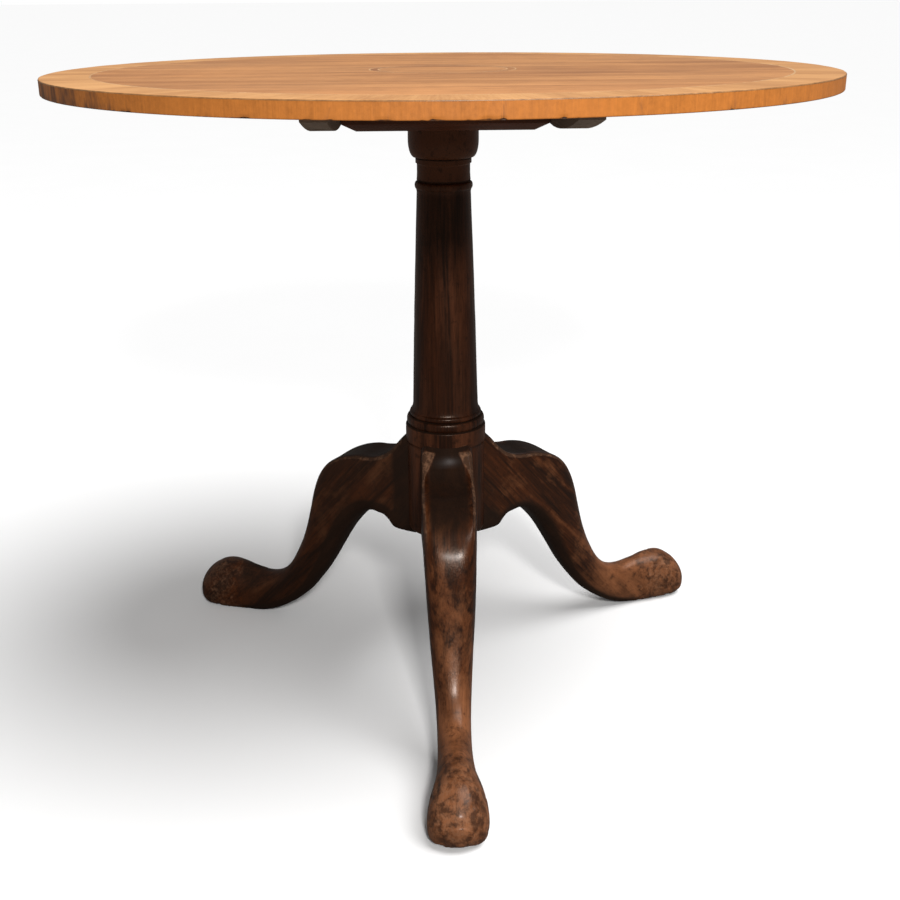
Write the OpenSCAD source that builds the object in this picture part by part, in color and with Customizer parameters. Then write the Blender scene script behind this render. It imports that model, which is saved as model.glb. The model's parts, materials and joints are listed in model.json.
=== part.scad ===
// Tilt-top tripod table. A round veneered top is screwed to two bearers, which turn on wooden
// pintles at the back edge of a block. The block is wedged on the head of a turned column, and
// three cabriole legs are dovetailed into the column's foot and held by an iron brace below.
// A brass spring catch under the front of the top holds it level.
// Millimetres, +Z up, origin on the floor on the column's axis, front leg towards -Y.

/* [Top] */
// Height of the top's upper face above the floor
table_h = 712.6; // [705:0.1:725]
// Diameter of the round top
top_d = 820; // [760:10:860]
// Thickness of the top, with its veneer
top_t = 15.3; // [14:0.1:20]
// Thickness of the sawn veneers
veneer_t = 1.2; // [0.8:0.1:1.5]
// Thickness of the veneer round the edge
edge_t = 1.5; // [1:0.1:3]
// Width of the crossbanded border
border_w = 48; // [30:1:70]
// Width of the line between the border and the field
border_string_w = 2; // [1:0.1:3]
// Radius of the medallion at the centre
medallion_r = 78.3; // [50:0.1:110]
// Width of the dark band round the medallion
medallion_band_w = 7.7; // [4:0.1:14]
// Width of the two pale lines beside that band
medallion_string_w = 1.5; // [0.8:0.1:2.5]

/* [Bearers] */
// Width of each bearer
bearer_w = 23; // [22:1:32]
// Depth of each bearer at its middle
bearer_depth = 33; // [30:1:38]
// Depth of each bearer at its ends
bearer_end_depth = 10; // [8:1:16]
// Length of each bearer
bearer_len = 612; // [560:2:640]
// Length of the straight stretch along the middle of each bearer
bearer_flat_len = 196; // [196:2:280]

/* [Block] */
// Half of the block's width and length
block_half = 104; // [100:1:110]
// Thickness of the block
block_t = 39; // [36:1:44]
// Width of the bevel along the block's lower edges
block_bevel_w = 14; // [6:1:18]
// Height of that bevel
block_bevel_h = 8; // [4:1:12]
// Radius of the rounded upper edge, about the pivot
pivot_round = 18; // [17:0.5:18.5]
// Radius of the pintles
pintle_r = 9; // [7:0.5:10]

/* [Column and legs] */
// Radius of the turned hub that takes the legs
hub_r = 45.8; // [44:0.1:46]
// Radius of the tenon through the block
tenon_r = 20; // [16:0.5:24]
// Width of each leg where it leaves the hub
leg_w = 62; // [54:1:66]

/* [Hidden] */
$fn = 96;
cut = 1;                 // how far a cutter runs past a face
glue_gap = 0.1;          // space left round a glued or screwed part
rest_gap = 0.3;          // space between parts that only rest on each other

// the top's layers, from the underside up
top_r = top_d / 2;
under_z = table_h - top_t;
core_z = table_h - veneer_t;
core_r = top_r - edge_t;
board_count = 4;
board_w = 2 * core_r / board_count;
field_r = top_r - border_w;
band_r = medallion_r - medallion_string_w;
band_in_r = band_r - medallion_band_w;
disc_r = band_in_r - medallion_string_w;

// the block, and the pivot at the back of its upper edge
block_top = under_z - rest_gap;
block_z = block_top - block_t;
block_back = block_half - rest_gap;
pivot_y = block_back - pivot_round;
pivot_z = block_top - pivot_round;
pintle_fit = 0.06;
bearer_in = block_half + 0.8;
bearer_out = bearer_in + bearer_w;
bearer_z = under_z - bearer_depth;
bearer_rise = bearer_depth - bearer_end_depth;
bearer_run = (bearer_len - bearer_flat_len) / 2;
bearer_arc_r = (bearer_run * bearer_run + bearer_rise * bearer_rise) / (2 * bearer_rise);

// wood screws
screw_r = 2.2;
screw_head_r = 4.5;
screw_head_h = 3.2;
screw_pocket_r = 5.5;
bearer_screw_y = [-240, 15, 240];
bearer_screw_z = under_z - 16.3;
bearer_screw_len = 25;
small_screw_r = 1.2;
small_head_r = 2.4;
small_head_h = 1.4;

// the spring catch, which points at the block's front face
catch_travel = 7;
catch_mid_z = under_z - 8.5;
bolt_w = 10;
bolt_h = 5.5;
bolt_fit = 0.3;
bolt_reach = 6;
bolt_tip_y = -block_half + bolt_reach;
bolt_end_y = bolt_tip_y - 40;
case_w = 20;
case_h = 13;
case_front_y = -block_half - 12;
case_back_y = case_front_y - 42;
case_wall = 2;
plate_w = 36;
plate_t = 1.6;
plate_margin = 4;
case_top_z = under_z - plate_t;
catch_screw_x = 14;
catch_screw_inset = 4.5;
catch_screw_len = 11;
knob_y = bolt_tip_y - 28;
knob_r = 5;
knob_stem_r = 1.5;
knob_top_z = case_top_z - case_h - 1;
knob_h = 7.5;
spring_r = 2;
spring_wire_r = 0.4;
spring_turns = 6;
spring_steps = 10;
spring_sides = 6;

// the strike plate let into the block's front face
strike_w = 30;
strike_h = 14;
strike_t = 1.5;
strike_slot_fit = 0.6;
strike_screw_x = 10.5;
strike_screw_len = 12;

// the column's turned profile, from the hub up
hub_z = 175;
hub_seat_r = 20;
hub_dome_z = 187;
hub_band_r = 46.6;
hub_band_z = [297.5, 315.8];
torus_r = 45.2;
torus_z = [316.8, 327];
bead_r = 41.6;
bead_z = [327.6, 333];
shaft_foot = [37.6, 345];
shaft_head = [29.7, 585];
collar_r = 31.8;
collar_z = [588, 595.5];
neck_r = 29;
neck_fillet_r = 30.5;
cup_r = 38.4;
cup_foot_r = 32.1;
cup_z = [621.8, 640];
groove_depth = 1.6;
wedge_len = 24;
wedge_t = 2.4;
wedge_y = 9;

// the legs: direction of each, then the sections from the hub to the toe
front_angle = -90;
right_angle = 30;
left_angle = 150;
tongue_in = 29;
tongue_out = 54;
tongue_neck = 8;
tongue_root = 12;
tongue_top = 282;
// Each section has the distance out and the height of its upper point, the same for its lower
// point, its width as a share of leg_w, the height of its widest line as a share from the top,
// and how square its upper and lower halves are.
leg_sections = [
    [38, 303, 38, hub_z, 0.97, 0.50, 10, 8],
    [48, 295, 48, hub_z, 0.97, 0.50, 10, 8],
    [58, 284, 59, hub_z + 1, 0.97, 0.50, 10, 7],
    [68, 275, 65, 183.5, 0.98, 0.50, 10, 7],
    [80, 269, 72, 189, 0.99, 0.50, 10, 6],
    [94, 266, 81, 191.5, 1.00, 0.50, 10, 6],
    [110, 265, 91, 192, 1.00, 0.50, 9, 5],
    [127, 261, 102, 188, 0.98, 0.48, 8.5, 4.5],
    [143, 254, 112, 180, 0.96, 0.47, 7.5, 4],
    [158, 243, 123, 169, 0.94, 0.46, 6, 3.4],
    [171, 226, 134, 155, 0.91, 0.45, 4.4, 3],
    [181, 204, 145, 138, 0.88, 0.45, 3.5, 2.8],
    [189, 178, 157, 117, 0.83, 0.45, 3, 2.6],
    [200, 144, 171, 93, 0.76, 0.46, 2.7, 2.5],
    [213, 115, 187, 70, 0.69, 0.47, 2.5, 2.4],
    [231, 85, 207, 46, 0.62, 0.48, 2.4, 2.3],
    [251, 67, 231, 26, 0.59, 0.50, 2.3, 2.3],
    [274, 60, 259, 9, 0.60, 0.50, 2.3, 2.4],
    [300, 62, 290, -1, 0.67, 0.55, 2.1, 2.6],
    [322, 65, 316, -2, 0.82, 0.62, 2.0, 2.8],
    [343, 63, 339, -2, 0.97, 0.66, 2.0, 3],
    [361, 54, 358, -1, 0.98, 0.68, 2.0, 3],
    [373, 42, 371, 3, 0.80, 0.68, 2.0, 2.6],
    [379, 32, 378, 10, 0.45, 0.60, 2.0, 2.2]];
leg_steps = 2;           // rings drawn for each section
leg_sides = 24;          // points round each ring

// the iron brace: a disc under the hub with three arms that follow the legs' undersides
brace_t = 3;
brace_arm_w = 16;
brace_end = 6;           // the leg section where an arm ends
brace_hub_r = 21;
brace_hub_screw = [12, hub_z - brace_t];
brace_leg_screw = [81, 191.5 - brace_t];
brace_screw_len = 22;

// ---- helpers ----

// points on a stretch of an ellipse, from one angle to another
function arc_points(centre, radii, from, to, steps = 8) =
    [for (i = [0:steps]) let (a = from + (to - from) * i / steps)
        [centre[0] + radii[0] * cos(a), centre[1] + radii[1] * sin(a)]];

// a point on a leg's underside, moved down and inwards by a gap
function leg_under(t, gap) =
    let (s = leg_section(t), a = leg_section(t - 0.1), b = leg_section(t + 0.1),
        run = b[2] - a[2], rise = b[3] - a[3], length = sqrt(run * run + rise * rise))
    [s[2] + gap * rise / length, s[3] - gap * run / length];

// a rounded moulding that swells from root_r to r between two heights
function bead_points(root_r, r, z) =
    arc_points([root_r, (z[0] + z[1]) / 2], [r - root_r, (z[1] - z[0]) / 2], -90, 90);

// a smooth curve through four values, between the middle two
function smooth(a, b, c, d, u) =
    b + 0.5 * u * (c - a + u * (2 * a - 5 * b + 4 * c - d + u * (3 * (b - c) + d - a)));

// the leg's section at any place along it
function leg_section(t) =
    let (last = len(leg_sections) - 1, i = min(floor(t), last - 1))
    smooth(leg_sections[max(i - 1, 0)], leg_sections[i], leg_sections[i + 1],
        leg_sections[min(i + 2, last)], t - i);

// a signed power, which makes a circle squarer as the power falls
function bend(value, square) = sign(value) * pow(abs(value), 2 / square);

// one ring of the leg, square to its curve, with the leg pointing along +X
function leg_ring(s) =
    [for (i = [0:leg_sides - 1])
        let (a = 360 * i / leg_sides, square = sin(a) >= 0 ? s[6] : s[7],
            rise = bend(sin(a), square),
            down = rise >= 0 ? s[5] * (1 - rise) : s[5] - (1 - s[5]) * rise)
        [s[0] + (s[2] - s[0]) * down, leg_w / 2 * s[4] * bend(cos(a), square),
            s[1] + (s[3] - s[1]) * down]];

// a solid skinned over a list of rings, each with the same number of points
module skin(rings) {
    sides = len(rings[0]);
    last = len(rings) - 1;
    polyhedron(
        points = [for (ring = rings) each ring],
        faces = concat(
            [[for (i = [0:sides - 1]) i]],
            [for (k = [0:last - 1]) for (i = [0:sides - 1]) let (j = (i + 1) % sides)
                each [[k * sides + i, (k + 1) * sides + i, (k + 1) * sides + j],
                    [k * sides + i, (k + 1) * sides + j, k * sides + j]]],
            [[for (i = [sides - 1:-1:0]) last * sides + i]]),
        convexity = 6);
}

module tube(outer, inner, z, h) {
    translate([0, 0, z])
        difference() {
            cylinder(r = outer, h = h);
            translate([0, 0, -cut])
                cylinder(r = inner, h = h + 2 * cut);
        }
}

// a slotted countersunk wood screw, head at z = 0 and point upwards
module screw(r, head_r, head_h, length) {
    tip = 2.5 * r;
    slot_w = 0.22 * head_r;
    difference() {
        union() {
            cylinder(r1 = head_r, r2 = r, h = head_h);
            cylinder(r = r, h = length - tip);
            translate([0, 0, length - tip])
                cylinder(r1 = r, r2 = 0.2 * r, h = tip);
        }
        translate([-head_r, -slot_w / 2, -cut])
            cube([2 * head_r, slot_w, cut + head_h / 3]);
    }
}

// the hole that such a screw goes into, open below its head
module screw_hole(r, head_r, head_h, length, pocket_r, pocket) {
    translate([0, 0, -pocket])
        cylinder(r = pocket_r, h = pocket);
    cylinder(r1 = head_r + glue_gap, r2 = r + glue_gap, h = head_h);
    cylinder(r = r + glue_gap, h = length + glue_gap);
}

// ---- the top ----

module each_bearer_screw() {
    for (side = [-1, 1], y = bearer_screw_y)
        translate([side * (bearer_in + bearer_w / 2), y, bearer_screw_z])
            children();
}

module bearer_screw_hole() {
    screw_hole(screw_r, screw_head_r, screw_head_h, bearer_screw_len, screw_pocket_r, 30);
}

module each_catch_screw() {
    for (side = [-1, 1], y = [case_front_y - catch_screw_inset, case_back_y + catch_screw_inset])
        translate([side * catch_screw_x, y, case_top_z])
            children();
}

module catch_screw_hole() {
    screw_hole(small_screw_r, small_head_r, small_head_h, catch_screw_len, small_head_r, cut);
}

// one board of the core, counted from the front
module board(number) {
    color("burlywood")
        difference() {
            intersection() {
                translate([0, 0, under_z])
                    cylinder(r = core_r, h = core_z - under_z, $fn = 180);
                translate([-top_r, -core_r + board_w * (number - 1), under_z - cut])
                    cube([top_d, board_w, top_t]);
            }
            each_bearer_screw()
                bearer_screw_hole();
            each_catch_screw()
                catch_screw_hole();
        }
}

module board_1() { board(1); }
module board_2() { board(2); }
module board_3() { board(3); }
module board_4() { board(4); }

module field_veneer() {
    color("peru")
        tube(field_r - border_string_w, medallion_r, core_z, veneer_t);
}

module border_veneer() {
    color("sandybrown")
        tube(top_r, field_r, core_z, veneer_t);
}

module border_stringing() {
    color("wheat")
        tube(field_r, field_r - border_string_w, core_z, veneer_t);
}

module medallion_stringing() {
    color("wheat") {
        tube(medallion_r, band_r, core_z, veneer_t);
        tube(band_in_r, disc_r, core_z, veneer_t);
    }
}

module medallion_band() {
    color("chocolate")
        tube(band_r, band_in_r, core_z, veneer_t);
}

module medallion_disc() {
    color("sandybrown")
        translate([0, 0, core_z])
            cylinder(r = disc_r, h = veneer_t);
}

module edge_banding() {
    color("sienna")
        tube(top_r, core_r, under_z, core_z - under_z);
}

// ---- the bearers ----

// a bearer seen from the side: straight in the middle, sweeping up in an arc to each end
module bearer_outline() {
    turn = asin(bearer_run / bearer_arc_r);
    foot = bearer_flat_len / 2;
    arc_z = bearer_z + bearer_arc_r;
    polygon(concat(
        [[-bearer_len / 2, under_z]],
        arc_points([-foot, arc_z], [bearer_arc_r, bearer_arc_r], -90 - turn, -90),
        arc_points([foot, arc_z], [bearer_arc_r, bearer_arc_r], -90, -90 + turn),
        [[bearer_len / 2, under_z]]));
}

module bearer(side) {
    color("dimgray")
        difference() {
            translate([side > 0 ? bearer_in : -bearer_out, 0, 0])
                rotate([90, 0, 90])
                    linear_extrude(bearer_w)
                        bearer_outline();
            translate([0, pivot_y, pivot_z])
                rotate([0, 90, 0])
                    cylinder(r = pintle_r + pintle_fit, h = 3 * block_half, center = true);
            each_bearer_screw()
                bearer_screw_hole();
        }
}

module bearer_left() { bearer(-1); }
module bearer_right() { bearer(1); }

module bearer_screws() {
    color("gray")
        each_bearer_screw()
            screw(screw_r, screw_head_r, screw_head_h, bearer_screw_len);
}

// ---- the spring catch ----

module catch_plate() {
    color("gold")
        difference() {
            translate([-plate_w / 2, case_back_y - plate_margin, case_top_z])
                cube([plate_w, case_front_y - case_back_y + 2 * plate_margin, plate_t]);
            each_catch_screw()
                catch_screw_hole();
        }
}

// the box that the bolt slides in, open at the front, with a slot below for the knob's stem
module catch_case() {
    slot_r = knob_stem_r + bolt_fit;
    color("goldenrod")
        difference() {
            translate([-case_w / 2, case_back_y, case_top_z - case_h])
                cube([case_w, case_front_y - case_back_y, case_h]);
            translate([-bolt_w / 2 - bolt_fit, case_back_y + case_wall,
                catch_mid_z - bolt_h / 2 - bolt_fit])
                cube([bolt_w + 2 * bolt_fit, case_front_y - case_back_y,
                    bolt_h + 2 * bolt_fit]);
            for (y = [knob_y, knob_y - catch_travel])
                translate([0, y, case_top_z - case_h - cut])
                    cylinder(r = slot_r, h = case_h / 2);
            translate([-slot_r, knob_y - catch_travel, case_top_z - case_h - cut])
                cube([2 * slot_r, catch_travel, case_h / 2]);
        }
}

module catch_screws() {
    color("gray")
        each_catch_screw()
            screw(small_screw_r, small_head_r, small_head_h, catch_screw_len);
}

// a coil between the bolt's tail and the back of the case
module catch_spring() {
    start = bolt_end_y - spring_wire_r - bolt_fit;
    finish = case_back_y + case_wall + spring_wire_r + bolt_fit;
    rings = spring_turns * spring_steps;
    color("silver")
        skin([for (k = [0:rings]) let (turn = 360 * k / spring_steps,
            y = start + (finish - start) * k / rings)
            [for (i = [0:spring_sides - 1]) let (a = 360 * i / spring_sides,
                out = spring_r + spring_wire_r * cos(a))
                [out * cos(turn), y - spring_wire_r * sin(a), catch_mid_z + out * sin(turn)]]]);
}

// the bolt, with its nose bevelled below so that the top snaps shut when it is let down
module catch_bolt() {
    low = catch_mid_z - bolt_h / 2;
    high = catch_mid_z + bolt_h / 2;
    nose = 2 * bolt_h / 3;
    color("gold")
        difference() {
            translate([-bolt_w / 2, 0, 0])
                rotate([90, 0, 90])
                    linear_extrude(bolt_w)
                        polygon([[bolt_end_y, low], [bolt_tip_y - nose, low],
                            [bolt_tip_y, high - 1], [bolt_tip_y, high], [bolt_end_y, high]]);
            translate([0, knob_y, low - cut])
                cylinder(r = knob_stem_r, h = cut + bolt_h / 2);
        }
}

module catch_knob() {
    color("goldenrod")
        translate([0, knob_y, 0])
            rotate_extrude()
                polygon(concat(
                    [[0, knob_top_z - knob_h]],
                    arc_points([knob_r - 2, knob_top_z - knob_h + 2], [2, 2], -90, 60),
                    [[0.5 * knob_r, knob_top_z - 2], [0.65 * knob_r, knob_top_z],
                        [knob_stem_r, knob_top_z], [knob_stem_r, catch_mid_z],
                        [0, catch_mid_z]]));
}

// ---- the block ----

// an upright outline with its two lower corners bevelled
function block_outline(back) = [
    [-block_half, block_top], [-block_half, block_z + block_bevel_h],
    [-block_half + block_bevel_w, block_z], [back - block_bevel_w, block_z],
    [back, block_z + block_bevel_h]];

module strike_screw_places() {
    for (side = [-1, 1])
        translate([side * strike_screw_x, -block_half, catch_mid_z])
            rotate([-90, 0, 0])
                children();
}

module strike_screw_hole() {
    screw_hole(small_screw_r, small_head_r, small_head_h, strike_screw_len, small_head_r, cut);
}

module bolt_slot(depth) {
    translate([-bolt_w / 2 - strike_slot_fit, -block_half - cut,
        catch_mid_z - bolt_h / 2 - strike_slot_fit])
        cube([bolt_w + 2 * strike_slot_fit, depth + cut, bolt_h + 2 * strike_slot_fit]);
}

module strike_shape(gap) {
    translate([-strike_w / 2 - gap, -block_half - gap, catch_mid_z - strike_h / 2 - gap])
        cube([strike_w + 2 * gap, strike_t + 2 * gap, strike_h + 2 * gap]);
}

module block() {
    color("saddlebrown")
        difference() {
            union() {
                intersection() {
                    rotate([90, 0, 0])
                        translate([0, 0, -block_back])
                            linear_extrude(block_half + block_back)
                                polygon(concat(block_outline(block_half),
                                    [[block_half, block_top]]));
                    translate([-block_half, 0, 0])
                        rotate([90, 0, 90])
                            linear_extrude(2 * block_half)
                                polygon(concat(block_outline(block_back),
                                    arc_points([pivot_y, pivot_z],
                                        [pivot_round, pivot_round], 0, 90)));
                }
                translate([0, pivot_y, pivot_z])
                    rotate([0, 90, 0])
                        cylinder(r = pintle_r, h = 2 * bearer_out - 2, center = true);
            }
            translate([0, 0, block_z - cut])
                cylinder(r = tenon_r + glue_gap, h = block_t + 2 * cut);
            strike_shape(0);
            bolt_slot(bolt_reach + 1.5);
            strike_screw_places()
                strike_screw_hole();
        }
}

module strike_plate() {
    color("gold")
        difference() {
            strike_shape(0);
            bolt_slot(strike_t + cut);
            strike_screw_places()
                strike_screw_hole();
        }
}

module strike_screws() {
    color("gray")
        strike_screw_places()
            screw(small_screw_r, small_head_r, small_head_h, strike_screw_len);
}

// ---- the column ----

module column_outline() {
    polygon(concat(
        [[0, hub_z], [hub_seat_r, hub_z], [hub_r - 2, hub_dome_z - 1.5], [hub_r, hub_dome_z],
            [hub_r, hub_band_z[0] - 1], [hub_band_r, hub_band_z[0]], [hub_band_r, hub_band_z[1]],
            [hub_band_r - groove_depth, hub_band_z[1] + 0.4]],
        bead_points(torus_r - 2.2, torus_r, torus_z),
        [[bead_r - groove_depth, torus_z[1]]],
        bead_points(bead_r - 1.4, bead_r, bead_z),
        arc_points([bead_r - 1, shaft_foot[1]], [bead_r - 1 - shaft_foot[0], 12], -90, -180),
        [for (u = [0.2:0.2:0.8])
            [shaft_foot[0] + (shaft_head[0] - shaft_foot[0]) * u + 0.4 * sin(180 * u),
                shaft_foot[1] + (shaft_head[1] - shaft_foot[1]) * u]],
        [shaft_head, [shaft_head[0] + 0.6, collar_z[0]]],
        bead_points(collar_r - 1.6, collar_r, collar_z),
        [[neck_r - 0.4, collar_z[1] + 0.6], [neck_r + 0.5, collar_z[1] + 2],
            [neck_r, collar_z[1] + 10], [neck_r, cup_z[0] - 8]],
        arc_points([neck_fillet_r, cup_z[0] - 8], [neck_fillet_r - neck_r, 2], 180, 90, 4),
        [[neck_fillet_r, cup_z[0] - 2.6], [cup_foot_r - groove_depth, cup_z[0] - 0.8]],
        arc_points([cup_foot_r, cup_z[1]], [cup_r - cup_foot_r, cup_z[1] - cup_z[0]], -90, 0),
        [[cup_r, block_z - 2], [cup_r - 1, block_z], [tenon_r, block_z],
            [tenon_r, block_top - rest_gap], [0, block_top - rest_gap]]));
}

// the sliding dovetail at a leg's root, pointing along +X
module tongue(gap) {
    translate([0, 0, hub_z - gap])
        linear_extrude(tongue_top - hub_z + 2 * gap)
            polygon([[tongue_in - gap, -tongue_root - gap], [tongue_out, -tongue_neck + 1 - gap],
                [tongue_out, tongue_neck - 1 + gap], [tongue_in - gap, tongue_root + gap]]);
}

module each_wedge() {
    for (side = [-1, 1])
        translate([0, side * wedge_y, block_top - rest_gap])
            children();
}

// a wedge standing on its point across the tenon
module wedge() {
    rotate([90, 0, 90])
        translate([0, 0, -tenon_r * 0.8])
            linear_extrude(tenon_r * 1.6)
                polygon([[-wedge_t / 2, 0], [wedge_t / 2, 0], [0.3, -wedge_len],
                    [-0.3, -wedge_len]]);
}

// the brace's screws, each place given as its distance out and its height
module each_brace_screw(places) {
    for (angle = [front_angle, right_angle, left_angle], place = places)
        rotate([0, 0, angle])
            translate([place[0], 0, place[1]])
                children();
}

module brace_screw_hole() {
    screw_hole(screw_r, screw_head_r, screw_head_h - 0.4, brace_screw_len, screw_head_r, cut);
}

module column() {
    color("#3a2418")
        difference() {
            rotate_extrude()
                column_outline();
            for (angle = [front_angle, right_angle, left_angle])
                rotate([0, 0, angle])
                    tongue(glue_gap);
            each_wedge()
                wedge();
            each_brace_screw([brace_hub_screw])
                brace_screw_hole();
        }
}

module tenon_wedges() {
    color("tan")
        each_wedge()
            wedge();
}

// ---- the legs ----

module leg(angle) {
    rings = (len(leg_sections) - 1) * leg_steps;
    color("#4b2a18")
        rotate([0, 0, angle])
            difference() {
                union() {
                    difference() {
                        skin([for (k = [0:rings]) leg_ring(leg_section(k / leg_steps))]);
                        cylinder(r = hub_r + glue_gap, h = hub_band_z[0]);
                        translate([0, 0, hub_band_z[0] - 1])
                            cylinder(r = hub_band_r + glue_gap, h = table_h);
                    }
                    tongue(0);
                }
                translate([0, -leg_w, -leg_w])
                    cube([top_r, 2 * leg_w, leg_w]);
                translate([brace_leg_screw[0], 0, brace_leg_screw[1]])
                    brace_screw_hole();
            }
}

module leg_front() { leg(front_angle); }
module leg_right() { leg(right_angle); }
module leg_left() { leg(left_angle); }

// one arm of the brace from the side, flat under the hub and then bent up along the leg
module brace_arm_outline() {
    steps = [2:brace_end * leg_steps];
    polygon(concat(
        [[0, hub_z - brace_t], [0, hub_z - glue_gap]],
        [for (k = steps) leg_under(k / leg_steps, glue_gap)],
        [for (k = steps) leg_under((brace_end * leg_steps + 2 - k) / leg_steps, brace_t)]));
}

module brace_plate() {
    color("dimgray")
        difference() {
            union() {
                translate([0, 0, hub_z - brace_t])
                    cylinder(r = brace_hub_r, h = brace_t - glue_gap);
                for (angle = [front_angle, right_angle, left_angle])
                    rotate([0, 0, angle])
                        translate([0, brace_arm_w / 2, 0])
                            rotate([90, 0, 0])
                                linear_extrude(brace_arm_w)
                                    brace_arm_outline();
            }
            each_brace_screw([brace_hub_screw, brace_leg_screw])
                brace_screw_hole();
        }
}

module brace_screws() {
    color("gray")
        each_brace_screw([brace_hub_screw, brace_leg_screw])
            screw(screw_r, screw_head_r, screw_head_h - 0.4, brace_screw_len);
}

board_1();
board_2();
board_3();
board_4();
field_veneer();
border_veneer();
border_stringing();
medallion_stringing();
medallion_band();
medallion_disc();
edge_banding();
bearer_left();
bearer_right();
bearer_screws();
catch_plate();
catch_case();
catch_screws();
catch_spring();
catch_bolt();
catch_knob();
block();
strike_plate();
strike_screws();
column();
tenon_wedges();
leg_front();
leg_right();
leg_left();
brace_plate();
brace_screws();
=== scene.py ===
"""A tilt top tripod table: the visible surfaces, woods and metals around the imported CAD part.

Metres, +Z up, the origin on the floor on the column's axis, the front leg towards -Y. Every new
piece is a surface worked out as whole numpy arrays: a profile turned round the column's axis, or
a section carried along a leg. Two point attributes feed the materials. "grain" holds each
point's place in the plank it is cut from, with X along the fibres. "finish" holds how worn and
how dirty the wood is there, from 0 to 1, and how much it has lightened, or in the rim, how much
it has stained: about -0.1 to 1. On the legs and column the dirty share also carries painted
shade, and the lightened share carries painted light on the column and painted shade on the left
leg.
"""

import json
import math

import bmesh
import bpy
import numpy as np
from bpy.props import FloatProperty, FloatVectorProperty, PointerProperty
from mathutils import Matrix, Vector

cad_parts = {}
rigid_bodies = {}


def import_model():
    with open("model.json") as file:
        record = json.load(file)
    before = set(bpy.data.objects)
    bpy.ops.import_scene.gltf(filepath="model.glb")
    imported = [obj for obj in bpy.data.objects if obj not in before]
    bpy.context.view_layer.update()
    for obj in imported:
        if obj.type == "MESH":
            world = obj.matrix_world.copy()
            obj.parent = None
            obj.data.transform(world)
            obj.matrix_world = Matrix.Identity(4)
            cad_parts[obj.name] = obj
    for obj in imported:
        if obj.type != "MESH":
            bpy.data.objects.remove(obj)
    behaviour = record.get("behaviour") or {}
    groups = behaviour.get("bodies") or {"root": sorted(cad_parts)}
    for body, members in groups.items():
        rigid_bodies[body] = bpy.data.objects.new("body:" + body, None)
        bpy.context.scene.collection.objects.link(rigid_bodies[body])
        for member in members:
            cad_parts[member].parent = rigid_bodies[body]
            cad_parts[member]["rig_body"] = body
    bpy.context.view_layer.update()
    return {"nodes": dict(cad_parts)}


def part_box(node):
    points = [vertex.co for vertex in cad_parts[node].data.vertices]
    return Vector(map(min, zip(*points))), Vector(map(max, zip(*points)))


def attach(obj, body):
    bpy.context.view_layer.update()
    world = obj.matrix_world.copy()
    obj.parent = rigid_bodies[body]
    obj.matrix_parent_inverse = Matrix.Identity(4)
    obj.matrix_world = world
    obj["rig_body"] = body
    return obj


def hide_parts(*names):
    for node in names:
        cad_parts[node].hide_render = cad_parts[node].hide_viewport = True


bl_info = {
    "name": "Tilt top tripod table",
    "version": (1, 0, 0),
    "blender": (4, 5, 0),
    "location": "3D View > Sidebar > Tripod table",
    "description": "Builds the veneered top, turned column, cabriole legs and brass catch",
    "category": "Add Mesh",
}

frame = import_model()

MM = 0.001
TOP_LOW, TOP_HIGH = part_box("edge_banding")
TOP_R = TOP_HIGH.x
UNDER_Z = TOP_LOW.z
CORE_Z = TOP_HIGH.z
TABLE_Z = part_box("border_veneer")[1].z
BORDER_IN_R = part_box("border_stringing")[1].x
LEG_HALF_W = 0.031
HUB_R = 0.0458
PIVOT_Z = 0.679
# a leg's toe, the pits in its foot, the wear of its sole, and its reach in under the hub
TOE_LENGTH, PIT_DEPTH, SOLE_WEAR, TUCK = 0.0032, 0.0030, 0.0045, 0.010
# how many sides the round surfaces have, and how many rings close a leg's toe
BORDER_SIDES, RIM_SIDES, COLUMN_SIDES, LEG_SIDES, TOE_RINGS = 1200, 1500, 224, 144, 10
# an edge that turns more than these is shaded crisp, and is bevelled
CRISP_ANGLE, BEVEL_ANGLE = math.radians(38), math.radians(32)
# the colour that dirt and painted shade darken the polished wood towards
DIRT_AND_SHADE = (0.0105, 0.0046, 0.0026, 1.0)
TARNISH, RUST = (0.20, 0.115, 0.045), (0.085, 0.035, 0.018)
# each leg's direction in degrees, how far its wood has faded towards the foot, below zero darkened
# there as painted shade, and how much painted shade darkens it above the foot
LEGS = {"leg_front": (-90.0, 0.60, 0.0), "leg_right": (30.0, 0.52, 0.0),
        "leg_left": (150.0, -0.12, 0.56)}

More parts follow.
